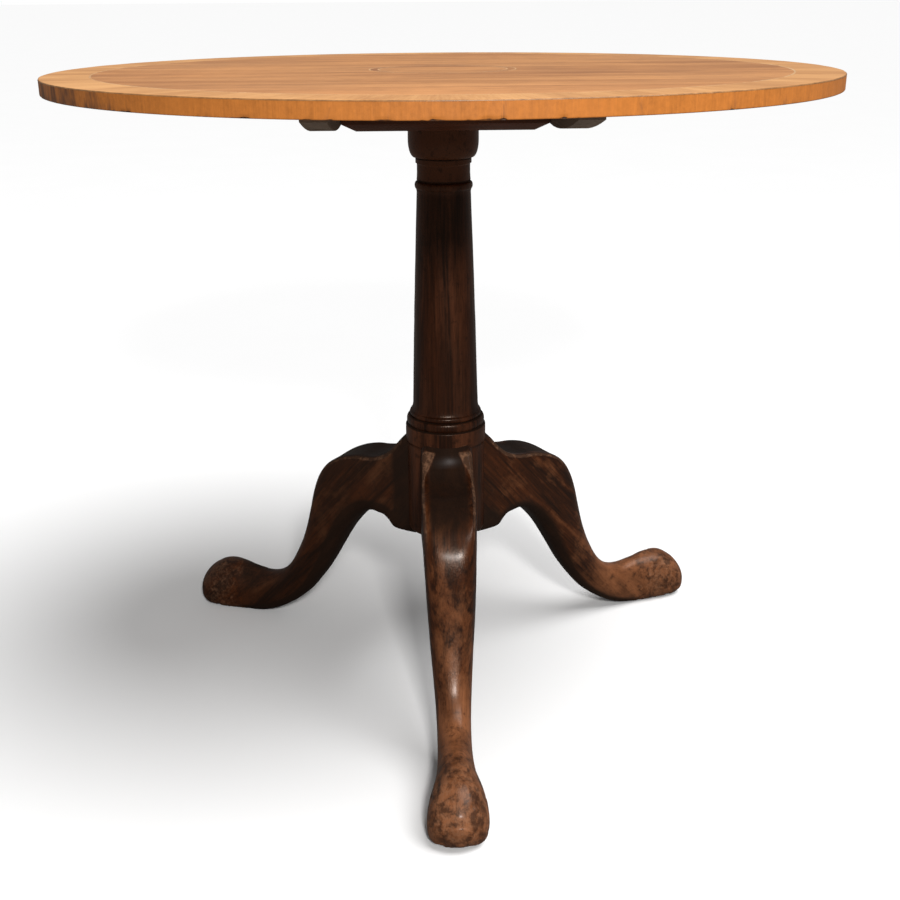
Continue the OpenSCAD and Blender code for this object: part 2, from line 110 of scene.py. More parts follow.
# Each leg section, in millimetres: the distance out and the height of its upper point, the same
# for its lower point, its width as a share of the leg's, the height of its widest line as a share
# from the top, and how square its upper and lower halves are.
LEG_SECTIONS = np.array([
    [38, 303, 38, 175, 0.97, 0.50, 10, 8],
    [48, 295, 48, 175, 0.97, 0.50, 10, 8],
    [58, 284, 59, 176, 0.97, 0.50, 10, 7],
    [68, 275, 65, 183.5, 0.98, 0.50, 10, 7],
    [80, 269, 72, 189, 0.99, 0.50, 10, 6],
    [94, 266, 81, 191.5, 1.00, 0.50, 10, 6],
    [110, 265, 91, 192, 1.00, 0.50, 9, 5],
    [127, 261, 102, 188, 0.98, 0.48, 8.5, 4.5],
    [143, 254, 112, 180, 0.96, 0.47, 7.5, 4],
    [158, 243, 123, 169, 0.94, 0.46, 6, 3.4],
    [171, 226, 134, 155, 0.91, 0.45, 4.4, 3],
    [181, 204, 145, 138, 0.88, 0.45, 3.5, 2.8],
    [189, 178, 157, 117, 0.83, 0.45, 3, 2.6],
    [200, 144, 171, 93, 0.76, 0.46, 2.7, 2.5],
    [213, 115, 187, 70, 0.69, 0.47, 2.5, 2.4],
    [231, 85, 207, 46, 0.62, 0.48, 2.4, 2.3],
    [251, 67, 231, 26, 0.59, 0.50, 2.3, 2.3],
    [274, 60, 259, 9, 0.60, 0.50, 2.3, 2.4],
    [300, 62, 290, -1, 0.67, 0.55, 2.1, 2.6],
    [322, 65, 316, -2, 0.82, 0.62, 2.0, 2.8],
    [343, 63, 339, -2, 0.97, 0.66, 2.0, 3],
    [361, 54, 358, -1, 0.98, 0.68, 2.0, 3],
    [373, 42, 371, 3, 0.80, 0.68, 2.0, 2.6],
    [379, 32, 378, 10, 0.45, 0.60, 2.0, 2.2],
])


# ---- settings ----

def colour_prop(name, description, rgb):
    """A colour setting, with its default in linear red, green and blue."""
    return FloatVectorProperty(name=name, description=description, subtype="COLOR", size=3,
                               min=0.0, max=1.0, default=rgb)


def length_prop(name, description, metres):
    """A length setting in metres."""
    return FloatProperty(name=name, description=description, subtype="DISTANCE", unit="LENGTH",
                         min=0.0, default=metres, precision=5)


class TableSizes(bpy.types.PropertyGroup):
    """Fine sizes of the worn and moulded surfaces."""

    top_arris: length_prop("Top arris", "Radius worn on the top's upper edge", 0.0009)
    under_arris: length_prop("Under arris", "Radius worn on the edge veneer's lower edge", 0.0011)
    nick_depth: length_prop("Nick depth", "Depth of the nicks along the lower edge", 0.0012)
    dish_depth: length_prop("Dish depth", "How far a leg's top is hollowed at its root", 0.0026)
    hand_waver: length_prop("Hand waver", "Unevenness that hand tools left on the legs", 0.0004)
    soft_edge: length_prop("Soft edge", "Width rubbed off the block's and bearers' edges", 0.0008)
    bearer_round: length_prop("Bearer rounding", "Radius along the bearers' lower edges", 0.0048)
    metal_edge: length_prop("Metal edge", "Width filed off the brass and iron edges", 0.0003)


class TableColours(bpy.types.PropertyGroup):
    """Colours of the woods and metals."""

    field: colour_prop("Field", "Faded veneer of the field", (0.66, 0.305, 0.112))
    field_streak: colour_prop("Field streaks", "Darker figure in the field", (0.36, 0.135, 0.044))
    border: colour_prop("Border", "Crossbanded border veneer", (0.80, 0.42, 0.165))
    border_streak: colour_prop("Border streaks", "Figure in the border", (0.60, 0.275, 0.095))
    line: colour_prop("Lines", "Pale boxwood lines", (0.75, 0.50, 0.27))
    band: colour_prop("Medallion band", "Darker band round the medallion", (0.50, 0.225, 0.085))
    edge: colour_prop("Edge", "Crossgrain veneer round the rim", (0.57, 0.190, 0.034))
    edge_dark: colour_prop("Edge stain", "Dark patches in the rim", (0.20, 0.078, 0.030))
    dark_wood: colour_prop("Dark wood", "Column and block", (0.046, 0.0125, 0.0044))
    dark_streak: colour_prop("Dark streak", "Fibres in the column and block",
                             (0.0100, 0.0030, 0.0013))
    # also the colour of the painted light on the column's neck and cup
    dark_warm_and_light: colour_prop("Dark wood, warm", "Lighter figure in the column",
                           (0.112, 0.036, 0.015))
    block: colour_prop("Block", "Stained wood of the block", (0.128, 0.036, 0.0130))
    leg: colour_prop("Leg", "Polished wood of the legs", (0.072, 0.0200, 0.0062))
    leg_streak: colour_prop("Leg streak", "Darker figure in the legs", (0.0135, 0.0050, 0.0028))
    leg_warm: colour_prop("Leg, warm", "Lighter, faded wood of the legs", (0.230, 0.086, 0.035))
    worn: colour_prop("Worn wood", "Wood where the polish is rubbed away", (0.23, 0.115, 0.064))
    bearer: colour_prop("Bearer", "Aged wood of the bearers", (0.29, 0.208, 0.150))
    core: colour_prop("Core", "Bare boards under the top", (0.34, 0.195, 0.095))
    brass: colour_prop("Brass", "Catch and strike plate", (0.62, 0.42, 0.16))
    iron: colour_prop("Iron", "Brace under the hub", (0.055, 0.048, 0.043))
    steel: colour_prop("Steel", "Wood screws", (0.24, 0.22, 0.20))


# ---- surfaces ----

def lattice_noise(points, scale, seed):
    """Smooth random values from -1 to 1: random numbers on a cubic lattice with the given number
    of cells to the metre, blended between the eight corners of a cell by u*u*(3 - 2*u)."""
    size = 32
    lattice = np.random.default_rng(seed).uniform(-1, 1, (size, size, size))
    place = np.asarray(points) * scale + 1000.0
    cell = np.floor(place).astype(int)
    u = place - cell
    u = u * u * (3 - 2 * u)
    total = np.zeros(place.shape[:-1])
    for corner in np.ndindex(2, 2, 2):
        near = (cell + corner) % size
        share = np.where(np.array(corner, bool), u, 1 - u).prod(axis=-1)
        total += share * lattice[near[..., 0], near[..., 1], near[..., 2]]
    return total


def step_up(low, high, value):
    """0 below low, 1 above high, and a smooth u*u*(3 - 2*u) rise between them."""
    u = np.clip((value - low) / (high - low), 0, 1)
    return u * u * (3 - 2 * u)


def smooth_rows(rows, t):
    """Rows of a table at any place t along it: a Catmull-Rom curve through each column."""
    last = len(rows) - 1
    i = np.minimum(np.floor(t).astype(int), last - 1)
    a, b, c, d = (rows[np.clip(i + k, 0, last)] for k in (-1, 0, 1, 2))
    u = (t - i)[:, None]
    return b + 0.5 * u * (c - a + u * (2 * a - 5 * b + 4 * c - d + u * (3 * (b - c) + d - a)))


def arc(centre, radii, start, end, steps):
    """Points on a stretch of an ellipse: centre + radii * (cos a, sin a), a in degrees."""
    a = np.radians(np.linspace(start, end, steps + 1))
    return np.stack([centre[0] + radii[0] * np.cos(a), centre[1] + radii[1] * np.sin(a)], 1)


def fine_path(points, spacing):
    """The same path with points added along each straight stretch, so that none is longer than
    the spacing: each stretch from p to q becomes p + (q - p) * k / n."""
    points = np.asarray(points, float)
    ends = np.roll(points, -1, axis=0)[:-1]
    count = np.maximum(1, np.ceil(np.linalg.norm(ends - points[:-1], axis=1) / spacing))
    return np.concatenate(
        [np.linspace(p, q, int(n), endpoint=False) for p, q, n in zip(points, ends, count)]
        + [points[-1:]])


def turned(profile, sides):
    """A profile of (radius, height) points turned round the Z axis: the point at angle a is
    (r*cos a, r*sin a, z). Rows run along the profile and columns round the axis."""
    a = np.linspace(0, 2 * np.pi, sides, endpoint=False)
    r, z = profile[:, 0, None], profile[:, 1, None]
    return np.stack([r * np.cos(a), r * np.sin(a), z + 0 * a], axis=-1)


def grid_faces(rows, columns, ring):
    """Quads over a grid of points numbered row by row. Columns always close on themselves, and
    rows do too when ring is set."""
    k = np.arange(rows if ring else rows - 1)[:, None]
    i = np.arange(columns)[None]
    up, right = (k + 1) % rows, (i + 1) % columns
    corners = [k * columns + i, k * columns + right, up * columns + right, up * columns + i]
    return np.stack([c.ravel() for c in np.broadcast_arrays(*corners)], axis=1)


def new_piece(name, points, ring, grain, finish, body, replaced, material, flip=False):
    """A mesh object from a grid of points that closes round its columns. The first and last rows
    are closed with one face each, unless the rows join up in a ring. Flip turns every face over,
    for a grid whose faces would look inwards."""
    rows, columns = points.shape[:2]
    faces = grid_faces(rows, columns, ring).tolist()
    if not ring:
        faces.append(list(range(columns))[::-1])
        faces.append(list(range((rows - 1) * columns, rows * columns)))
    if flip:
        faces = [face[::-1] for face in faces]
    mesh = bpy.data.meshes.new(name)
    mesh.from_pydata(points.reshape(-1, 3), [], faces)
    for label, values in (("grain", grain), ("finish", finish)):
        layer = mesh.attributes.new(label, "FLOAT_VECTOR", "POINT")
        layer.data.foreach_set("vector", np.asarray(values, np.float32).ravel())
    mesh.update()
    mesh.shade_smooth()
    mesh.set_sharp_from_angle(angle=CRISP_ANGLE)
    mesh.materials.append(material)
    piece = bpy.data.objects.new(name, mesh)
    bpy.context.scene.collection.objects.link(piece)
    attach(piece, body)
    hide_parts(*replaced)
    return piece


def softened(node, name, width, material, rounder=None, round_width=0.0):
    """A copy of a CAD node with its loose triangles merged, its flat faces joined and its edges
    rounded off by a bevel of the given width. Rounder takes an edge's two ends and says whether
    that edge is rounded by the larger width instead."""
    source = frame["nodes"][node]
    work = bmesh.new()
    work.from_mesh(source.data)
    bmesh.ops.remove_doubles(work, verts=work.verts, dist=1e-6)
    bmesh.ops.dissolve_limit(work, angle_limit=math.radians(1.0), verts=work.verts,
                             edges=work.edges)
    if rounder:
        weight = work.edges.layers.float.new("bevel_weight_edge")
        for edge in work.edges:
            if edge.calc_face_angle(0.0) > BEVEL_ANGLE:
                ends = [v.co for v in edge.verts]
                edge[weight] = 1.0 if rounder(*ends) else width / round_width
    mesh = bpy.data.meshes.new(name)
    work.to_mesh(mesh)
    work.free()
    mesh.materials.append(material)
    mesh.shade_smooth()
    mesh.set_sharp_from_angle(angle=CRISP_ANGLE)
    piece = bpy.data.objects.new(name, mesh)
    bpy.context.scene.collection.objects.link(piece)
    bevel = piece.modifiers.new("Soft edges", "BEVEL")
    bevel.width = round_width if rounder else width
    bevel.segments = 6 if rounder else 3
    bevel.limit_method = "WEIGHT" if rounder else "ANGLE"
    bevel.angle_limit = BEVEL_ANGLE
    bevel.harden_normals = True
    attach(piece, source["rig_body"])
    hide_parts(node)
    return piece


# ---- materials ----

class Finish:
    """A material's nodes, with short calls for adding and joining them."""

    def __init__(self, name):
        self.material = bpy.data.materials.new(name)
        self.material.use_nodes = True
        tree = self.material.node_tree
        self.nodes, self.links = tree.nodes, tree.links
        self.shader = self.nodes["Principled BSDF"]

    def put(self, socket, value):
        """Joins a socket to another node's output, or sets its value."""
        if isinstance(value, bpy.types.NodeSocket):
            self.links.new(value, socket)
        else:
            socket.default_value = value

    def node(self, kind, inputs, output=0, **options):
        """Adds a node, sets it up, and returns one of its outputs."""
        node = self.nodes.new(kind)
        for key, value in options.items():
            setattr(node, key, value)
        for key, value in inputs.items():
            self.put(node.inputs[key], value)
        return node.outputs[output]

    def noise(self, place, scale, detail=4.0, rough=0.55, warp=0.0):
        """Fractal noise, from 0 to 1 and mostly near the middle."""
        return self.node("ShaderNodeTexNoise", {"Vector": place, "Scale": scale,
                         "Detail": detail, "Roughness": rough, "Distortion": warp})

    def stretch(self, place, along, across, depth, shift=(0, 0, 0)):
        """A place scaled along X, Y and Z and then moved, so that noise runs out into fibres."""
        return self.node("ShaderNodeMapping", {"Vector": place, "Location": shift,
                         "Scale": (along, across, depth)})

    def maths(self, operation, a, b, clamp=False):
        """One sum of two values, held between 0 and 1 if clamp is set."""
        return self.node("ShaderNodeMath", {0: a, 1: b}, operation=operation, use_clamp=clamp)

    def plus(self, a, b, share=1.0):
        """a + b*share."""
        if share != 1.0:
            b = self.maths("MULTIPLY", b, share)
        return self.maths("ADD", a, b)

    def span(self, value, low, high, to_low=0.0, to_high=1.0):
        """Carries a value from one range to another, held inside it."""
        return self.node("ShaderNodeMapRange", {"Value": value, "From Min": low, "From Max": high,
                         "To Min": to_low, "To Max": to_high})

    def mix(self, share, a, b):
        """Colour a, giving way to colour b as the share goes from 0 to 1."""
        return self.node("ShaderNodeMix", {0: share, 6: a, 7: b}, 2, data_type="RGBA")

    def split(self, vector):
        """The three numbers of a vector as separate outputs."""
        parts = self.nodes.new("ShaderNodeSeparateXYZ")
        self.links.new(vector, parts.inputs[0])
        return parts.outputs

    def attribute(self, name):
        """A point attribute, as a vector."""
        return self.node("ShaderNodeAttribute", {}, 1, attribute_name=name)

    def object_place(self):
        """The object's own coordinates, in metres."""
        return self.node("ShaderNodeTexCoord", {}, 3)

    def bump(self, height, distance, strength):
        """Lets a height from 0 to 1 roughen the surface, by a distance in metres."""
        normal = self.node("ShaderNodeBump", {"Height": height, "Distance": distance,
                           "Strength": strength})
        self.links.new(normal, self.shader.inputs["Normal"])

    def finish(self, colour, roughness, **values):
        """Joins up the shader, sets its other inputs by name, and returns the material."""
        self.put(self.shader.inputs["Base Color"], colour)
        self.put(self.shader.inputs["Roughness"], roughness)
        for key, value in values.items():
            self.shader.inputs[key.replace("_", " ")].default_value = value
        return self.material


def paint(rgb, gain=1.0):
    """A colour setting as red, green, blue and alpha, brightened by a gain."""
    return tuple(min(1.0, c * gain) for c in rgb) + (1.0,)


def polished_wood(name, body, streak, pale, worn, shift, gloss, coat, length):
    """Old polished hardwood that follows the grain attribute: a broad figure and fine fibres
    along X, clouded lighter patches, short dark pores, rubbed edges, dark flakes, darkening from
    the finish attribute for dirt and for painted shade in hollows and underneath, lightening from
    it for fading and for painted light, and a thin waxed coat. Length is how far the figure runs
    along the fibres."""
    f = Finish(name)
    grain = f.attribute("grain")
    wear, dark_share, fade_and_painted_light = f.split(f.attribute("finish"))
    figure = f.noise(f.stretch(grain, 4.0 / length, 46, 46, shift), 1.0, 4.0, 0.6, 1.0)
    fibre = f.noise(f.stretch(grain, 16, 420, 420, shift), 1.0, 3.0, 0.6)
    pores = f.noise(f.stretch(grain, 70, 1000, 1000, shift), 1.0, 2.0, 0.5)
    cloud = f.noise(f.stretch(grain, 28 / length, 30, 30, shift), 1.0, 5.0, 0.66)
    speck = f.noise(grain, 330.0, 3.0, 0.6)
    share = f.span(f.plus(figure, fibre, 0.5), 0.58, 0.90)
    colour = f.mix(share, paint(streak), paint(body))
    # the third finish value lightens the wood: fading, and painted light on the column's upper
    # part; below zero it darkens the wood as painted shade
    lit = f.plus(f.plus(fade_and_painted_light, cloud, 1.9), f.plus(figure, fibre, 0.35))
    colour = f.mix(f.span(lit, 1.60, 2.40), colour, paint(pale))
    colour = f.mix(f.span(pores, 0.60, 0.72, 0.0, 0.55), colour, paint(streak, 0.5))
    ragged = f.plus(f.maths("MULTIPLY", speck, 0.6), cloud, 0.5)
    rubbed = f.span(f.plus(wear, ragged), 0.92, 1.35)
    colour = f.mix(rubbed, colour, paint(worn))
    flakes = f.plus(f.noise(grain, 105.0, 6.0, 0.7, 0.2), wear, 0.22)
    colour = f.mix(f.span(flakes, 0.55, 0.70, 0.0, 0.75), colour, paint(streak, 1.3))
    # the second finish value darkens the wood: dirt, and on the legs and column painted shade
    darkening = f.span(f.plus(dark_share, cloud, 0.6), 0.62, 1.15)
    colour = f.mix(f.maths("MULTIPLY", darkening, 0.92), colour, DIRT_AND_SHADE)
    dull = f.plus(f.plus(rubbed, wear), darkening, 1.9)
    roughness = f.maths("ADD", f.span(cloud, 0.3, 0.7, gloss, gloss + 0.16),
                        f.maths("MULTIPLY", dull, 0.26), True)
    relief = f.plus(f.maths("MULTIPLY", pores, -0.6), fibre, 0.5)
    f.bump(f.plus(f.plus(relief, speck, 0.4), cloud, 1.2), 0.00045, 0.6)
    return f.finish(colour, roughness, Coat_Weight=coat, Coat_Roughness=0.20,
                    Specular_IOR_Level=0.22, Specular_Tint=(1.0, 0.72, 0.55, 1.0))


def radial_place(f, around):
    """Coordinates for crossgrain round the axis: X runs outwards, and the other two go round a
    circle of the given radius, so that the pattern has no seam."""
    x, y, z = f.split(f.object_place())
    flat = f.node("ShaderNodeCombineXYZ", {0: x, 1: y})
    length = f.node("ShaderNodeVectorMath", {0: flat}, 1, operation="LENGTH")
    unit = f.split(f.node("ShaderNodeVectorMath", {0: flat}, operation="NORMALIZE"))
    return f.node("ShaderNodeCombineXYZ", {0: f.maths("ADD", length, z),
                                           1: f.maths("MULTIPLY", unit[0], around),
                                           2: f.maths("MULTIPLY", unit[1], around)})


def field_wood(name, pale, streak, warp, shift, around=0.0, front_sheen=0.0):
    """Faded, open-grained veneer: fine fibres and broad darker bands along X, short dark pores,
    and patches of fading. If around is set, the fibres run outwards from the axis instead, as
    radial_place lays them. The last argument says how strongly a painted sheen lightens the
    veneer towards the table's front."""
    f = Finish(name)
    place = radial_place(f, around) if around else f.object_place()
    broad = f.noise(f.stretch(place, 0.9, 13, 13, shift), 1.0, 4.0, 0.6, warp)
    narrow = f.noise(f.stretch(place, 3.2, 46, 13, shift), 1.0, 3.0, 0.6, 0.4)
    bands = f.plus(f.maths("MULTIPLY", broad, 0.62), narrow, 0.38)
    fibre = f.noise(f.stretch(place, 7, 330, 60, shift), 1.0, 4.0, 0.65)
    pores = f.noise(f.stretch(place, 45, 900, 60, shift), 1.0, 2.0, 0.5)
    cloud = f.noise(place, 6.0, 4.0, 0.6)
    colour = f.mix(f.span(f.plus(bands, fibre, 0.55), 0.66, 0.88), paint(streak), paint(pale))
    colour = f.mix(f.span(cloud, 0.35, 0.7, 0.0, 0.35), colour, paint(pale, 1.15))
    # a painted sheen lightens the veneer towards the table's front
    if front_sheen:
        painted_front_sheen = f.span(f.split(place)[1], -0.22, -0.38, 0.0, front_sheen)
        colour = f.mix(painted_front_sheen, colour, paint(pale, 1.38))
    colour = f.mix(f.span(pores, 0.56, 0.68, 0.0, 0.6), colour, paint(streak, 0.5))
    f.bump(f.plus(fibre, pores, -0.8), 0.0002, 0.5)
    return f.finish(colour, f.span(cloud, 0.3, 0.7, 0.36, 0.50), Coat_Weight=0.12,
                    Coat_Roughness=0.30, Specular_IOR_Level=0.35)


def border_wood(name, pale, streak):
    """Crossbanded veneer: fibres run outwards, with gentle darker bars round the border and
    dark rubbed wood along its outer edge."""
    f = Finish(name)
    place = radial_place(f, TOP_R)
    bars = f.noise(f.stretch(place, 5, 22, 22), 1.0, 4.0, 0.6, 0.3)
    fibre = f.noise(f.stretch(place, 18, 420, 420), 1.0, 3.0, 0.6)
    flecks = f.noise(f.stretch(place, 60, 900, 900), 1.0, 2.0, 0.5)
    colour = f.mix(f.span(f.plus(bars, fibre, 0.5), 0.60, 0.95), paint(streak), paint(pale))
    colour = f.mix(f.span(flecks, 0.60, 0.72, 0.0, 0.35), colour, paint(streak, 0.6))
    wear = f.split(f.attribute("finish"))[0]
    rubbed = f.span(f.plus(wear, f.noise(place, 120.0), 0.5), 0.75, 1.2)
    colour = f.mix(rubbed, colour, paint(streak, 0.42))
    f.bump(f.plus(fibre, flecks, -0.6), 0.0002, 0.5)
    return f.finish(colour, f.span(bars, 0.3, 0.7, 0.36, 0.48), Coat_Weight=0.12,
                    Coat_Roughness=0.30, Specular_IOR_Level=0.35)


def rim_wood(name, pale, stain):
    """Crossgrain edge veneer: upright fibres, dark stained patches that gather towards the lower
    edge, pale upright scratches, and dirt along both edges from the finish attribute."""
    f = Finish(name)
    place = radial_place(f, TOP_R)
    _, dark_share, stained_more = f.split(f.attribute("finish"))
    fibre = f.noise(f.stretch(place, 30, 330, 330), 1.0, 4.0, 0.65)
    clumps = f.noise(f.stretch(place, 16, 60, 60), 1.0, 4.0, 0.6, 0.5)
    tone = f.noise(f.stretch(place, 4, 26, 26), 1.0, 3.0, 0.55)
    scratch = f.noise(f.stretch(place, 12, 700, 700), 1.0, 1.0, 0.4)
    mottle = f.noise(place, 210.0, 4.0, 0.65)
    colour = f.mix(f.span(f.plus(fibre, mottle), 0.72, 1.25), paint(pale, 0.74),
                   paint(pale, 1.06))
    colour = f.mix(f.span(tone, 0.35, 0.68, 0.0, 0.4), colour, paint(pale, 1.2))
    blots = f.plus(f.plus(f.maths("MULTIPLY", clumps, 1.9), fibre, 0.35), stained_more)
    colour = f.mix(f.span(blots, 1.30, 1.62), colour, paint(stain))
    colour = f.mix(f.span(scratch, 0.72, 0.80, 0.0, 0.4), colour, paint(pale, 1.4))
    darkening = f.span(f.plus(dark_share, clumps, 0.5), 0.72, 1.05)
    colour = f.mix(darkening, colour, paint(stain, 0.35))
    f.bump(f.plus(fibre, scratch, -0.4), 0.00035, 0.6)
    return f.finish(colour, f.span(clumps, 0.3, 0.7, 0.42, 0.56), Coat_Weight=0.06,
                    Coat_Roughness=0.35, Specular_IOR_Level=0.32)


def plain_wood(name, tone, along, shift, contrast=0.55, rough=0.62):
    """Aged wood with little or no polish, in the object's own coordinates. Its fibres run along
    X or Y. Contrast is how dark its figure is beside its tone: 1 is as light as the tone."""
    f = Finish(name)
    place = f.object_place()
    if along == "Y":
        place = f.node("ShaderNodeMapping", {"Vector": place,
                       "Rotation": (0, 0, math.radians(90))})
    bands = f.noise(f.stretch(place, 1.6, 26, 26, shift), 1.0, 4.0, 0.6, 0.6)
    fibre = f.noise(f.stretch(place, 12, 480, 480, shift), 1.0, 4.0, 0.65)
    cloud = f.noise(place, 14.0, 5.0, 0.6)
    colour = f.mix(f.span(f.plus(bands, fibre, 0.6), 0.55, 1.0), paint(tone, contrast),
                   paint(tone, 1.2))
    colour = f.mix(f.span(cloud, 0.48, 0.75, 0.0, 0.6), colour, paint(tone, 0.4))
    f.bump(f.plus(fibre, cloud, 0.5), 0.0004, 0.6)
    return f.finish(colour, f.span(cloud, 0.3, 0.7, rough, rough + 0.14),
                    Specular_IOR_Level=0.3)


def old_metal(name, tone, tarnish, rough, metallic):
    """Handled metal: tarnish in clouds, fine file scratches and small pits."""
    f = Finish(name)
    place = f.object_place()
    cloud = f.noise(place, 95.0, 5.0, 0.65)
    pits = f.noise(place, 900.0, 3.0, 0.6)
    scratch = f.noise(f.stretch(place, 90, 2600, 2600), 1.0, 2.0, 0.5)
    colour = f.mix(f.span(cloud, 0.38, 0.66), paint(tone), paint(tarnish))
    colour = f.mix(f.span(pits, 0.62, 0.75, 0.0, 0.6), colour, paint(tarnish, 0.4))
    f.bump(f.plus(pits, scratch, 0.5), 0.00012, 0.6)
    return f.finish(colour, f.span(cloud, 0.3, 0.7, rough, rough + 0.25), Metallic=metallic)


def dress(node, material):
    """Gives a CAD node its material in place of the plain one."""
    mesh = frame["nodes"][node].data
    mesh.materials.clear()
    mesh.materials.append(material)


def settings():
    """The scene's sizes and colours."""
    return bpy.context.scene.table_sizes, bpy.context.scene.table_colours


# ---- pieces ----

class TABLE_OT_veneers(bpy.types.Operator):
    """Field, lines and medallion: flat veneers, each with its own figure"""

    bl_idname = "table.veneers"
    bl_label = "Field, lines and medallion"

    def execute(self, context):
        _, tone = settings()
        # the field gets a painted sheen towards the table's front
        dress("field_veneer", field_wood("Field veneer", tone.field, tone.field_streak, 0.8,
                                         (0.3, 0.1, 0), front_sheen=0.62))
        dress("medallion_disc", field_wood("Medallion veneer", tone.field, tone.field_streak,
                                           1.6, (2.1, 3.7, 0)))
        lines = field_wood("Boxwood line", tone.line, tone.border_streak, 0.1, (0, 0, 0), 0.4)
        dress("border_stringing", lines)
        dress("medallion_stringing", lines)
        dress("medallion_band", field_wood("Medallion band veneer", tone.band,
                                           tone.field_streak, 0.2, (1.3, 0, 0), 0.1))
        return {"FINISHED"}


class TABLE_OT_border(bpy.types.Operator):
    """Crossbanded border, with its outer arris rubbed round"""

    bl_idname = "table.border"
    bl_label = "Crossbanded border"

    def execute(self, context):
        size, tone = settings()
        r = size.top_arris
        profile = np.concatenate([
            fine_path([[BORDER_IN_R, CORE_Z], [BORDER_IN_R, TABLE_Z], [TOP_R - 3 * r, TABLE_Z]],
                      0.006),
            arc([TOP_R - r, TABLE_Z - r], [r, r], 90, 0, 6),
            [[TOP_R, CORE_Z]]])
        points = turned(profile, BORDER_SIDES)
        # the arris wavers: points on it sink by a share of its radius
        near = step_up(TOP_R - 2.2 * r, TOP_R - 0.3 * r, profile[:, 0])[:, None]
        rub = near * (0.5 + 0.5 * lattice_noise(points, 60, 3)) * 0.35 * r
        rub = rub * step_up(CORE_Z, CORE_Z + 0.3 * r, points[..., 2])
        points[..., 2] -= rub
        points[..., :2] *= 1 - (rub / TOP_R)[..., None]
        finish = np.zeros(points.shape)
        finish[..., 0] = near * 0.9
        new_piece("crossbanded_border", points, True, points, finish, "top",
                  ["border_veneer"],
                  border_wood("Crossbanded border veneer", tone.border, tone.border_streak),
                  True)
        return {"FINISHED"}


class TABLE_OT_edge(bpy.types.Operator):
    """Edge veneer round the rim, with its nicked and rubbed lower edge"""

    bl_idname = "table.edge"
    bl_label = "Edge veneer"

    def execute(self, context):
        size, tone = settings()
        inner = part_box("board_2")[1].x
        r = size.under_arris
        profile = np.concatenate([
            [[inner, CORE_Z], [inner, UNDER_Z]],
            arc([TOP_R - r, UNDER_Z + r], [r, r], -90, 0, 6),
            fine_path([[TOP_R, UNDER_Z + r + 0.0008], [TOP_R, CORE_Z]], 0.001)])
        points = turned(profile, RIM_SIDES)
        height = points[..., 2] - UNDER_Z
        outside = step_up(inner + 0.0004, inner + 0.0008, profile[:, 0])[:, None]
        ring = points.copy()
        ring[..., 2] = 0
        # nicks bite in from the lower edge where two layers of noise agree
        bite = lattice_noise(ring, 75, 11) + 0.6 * lattice_noise(ring, 260, 12)
        bite = np.clip(bite - 0.35, 0, 1)
        nick = size.nick_depth * bite * (1 - step_up(0.0006, 0.0034, height)) * outside
        wave = 0.00012 * (1 + lattice_noise(points, 25, 13)) * outside * step_up(0, 0.001, height)
        points[..., :2] *= 1 - ((0.7 * nick + wave) / TOP_R)[..., None]
        points[..., 2] += 0.8 * nick
        finish = np.zeros(points.shape)
        low, high = 1 - step_up(0.0, 0.0022, height), step_up(0.0132, 0.0141, height)
        finish[..., 1] = 0.55 * low + 0.35 * high + 0.6 * bite * low
        angle = np.arctan2(points[..., 1], points[..., 0])
        # the rim is stained most round its left end, and towards its lower edge
        left = np.exp(-((np.cos(angle - math.radians(205)) - 1) / 0.10) ** 2)
        finish[..., 2] = 0.32 * left - 0.09 + 0.12 * (1 - step_up(0, 0.009, height))
        new_piece("edge_veneer_band", points, True, points, finish, "top",
                  ["edge_banding"], rim_wood("Edge veneer", tone.edge, tone.edge_dark))
        return {"FINISHED"}


class TABLE_OT_core(bpy.types.Operator):
    """Boards under the veneer, bearers and their screws"""

    bl_idname = "table.core"
    bl_label = "Boards and bearers"

    def execute(self, context):
        size, tone = settings()
        low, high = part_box("bearer_right")
        same = 1e-5

        def below(a, b):
            """Whether an edge runs along one of a bearer's two lower edges, and isn't part of
            the hole that its pintle turns in."""
            along = abs(a.x - b.x) < same and all(
                min(abs(abs(p.x) - low.x), abs(abs(p.x) - high.x)) < same
                and p.z < UNDER_Z - 0.001 for p in (a, b))
            in_hole = all(abs(p.z - PIVOT_Z) < 0.0095 and 0.07 < p.y < 0.1 for p in (a, b))
            return along and not in_hole

        for number in range(1, 5):
            dress(f"board_{number}", plain_wood(f"Core board {number}", tone.core, "X",
                                                (number * 1.7, number * 3.1, 0)))
        for side, shift in (("left", 0.0), ("right", 4.3)):
            softened(f"bearer_{side}", f"bearer_{side}_soft", size.soft_edge,
                     plain_wood(f"Bearer {side}", tone.bearer, "Y", (shift, 1.0, 0.0)),
                     below, size.bearer_round)
        dress("bearer_screws", old_metal("Screw steel", tone.steel, tone.iron, 0.36, 1.0))
        return {"FINISHED"}


class TABLE_OT_block(bpy.types.Operator):
    """Block with its pintles, and the wedges in the column's tenon"""

    bl_idname = "table.block"
    bl_label = "Block and wedges"

    def execute(self, context):
        size, tone = settings()
        softened("block", "block_soft", size.soft_edge,
                 plain_wood("Block wood", tone.block, "X", (5.0, 2.0, 0.0), 0.35, 0.42))
        dress("tenon_wedges", plain_wood("Wedge wood", tone.core, "X", (8.0, 1.0, 0.0)))
        return {"FINISHED"}


class TABLE_OT_catch(bpy.types.Operator):
    """Brass spring catch under the top, and the strike plate in the block"""

    bl_idname = "table.catch"
    bl_label = "Spring catch"

    def execute(self, context):
        size, tone = settings()
        brass = old_metal("Tarnished brass", tone.brass, TARNISH, 0.26, 1.0)
        screws = bpy.data.materials["Screw steel"]
        for node in ("catch_plate", "catch_case", "catch_bolt", "strike_plate"):
            softened(node, f"{node}_soft", size.metal_edge, brass)
        dress("catch_knob", brass)
        for node in ("catch_screws", "strike_screws", "catch_spring"):
            dress(node, screws)
        return {"FINISHED"}


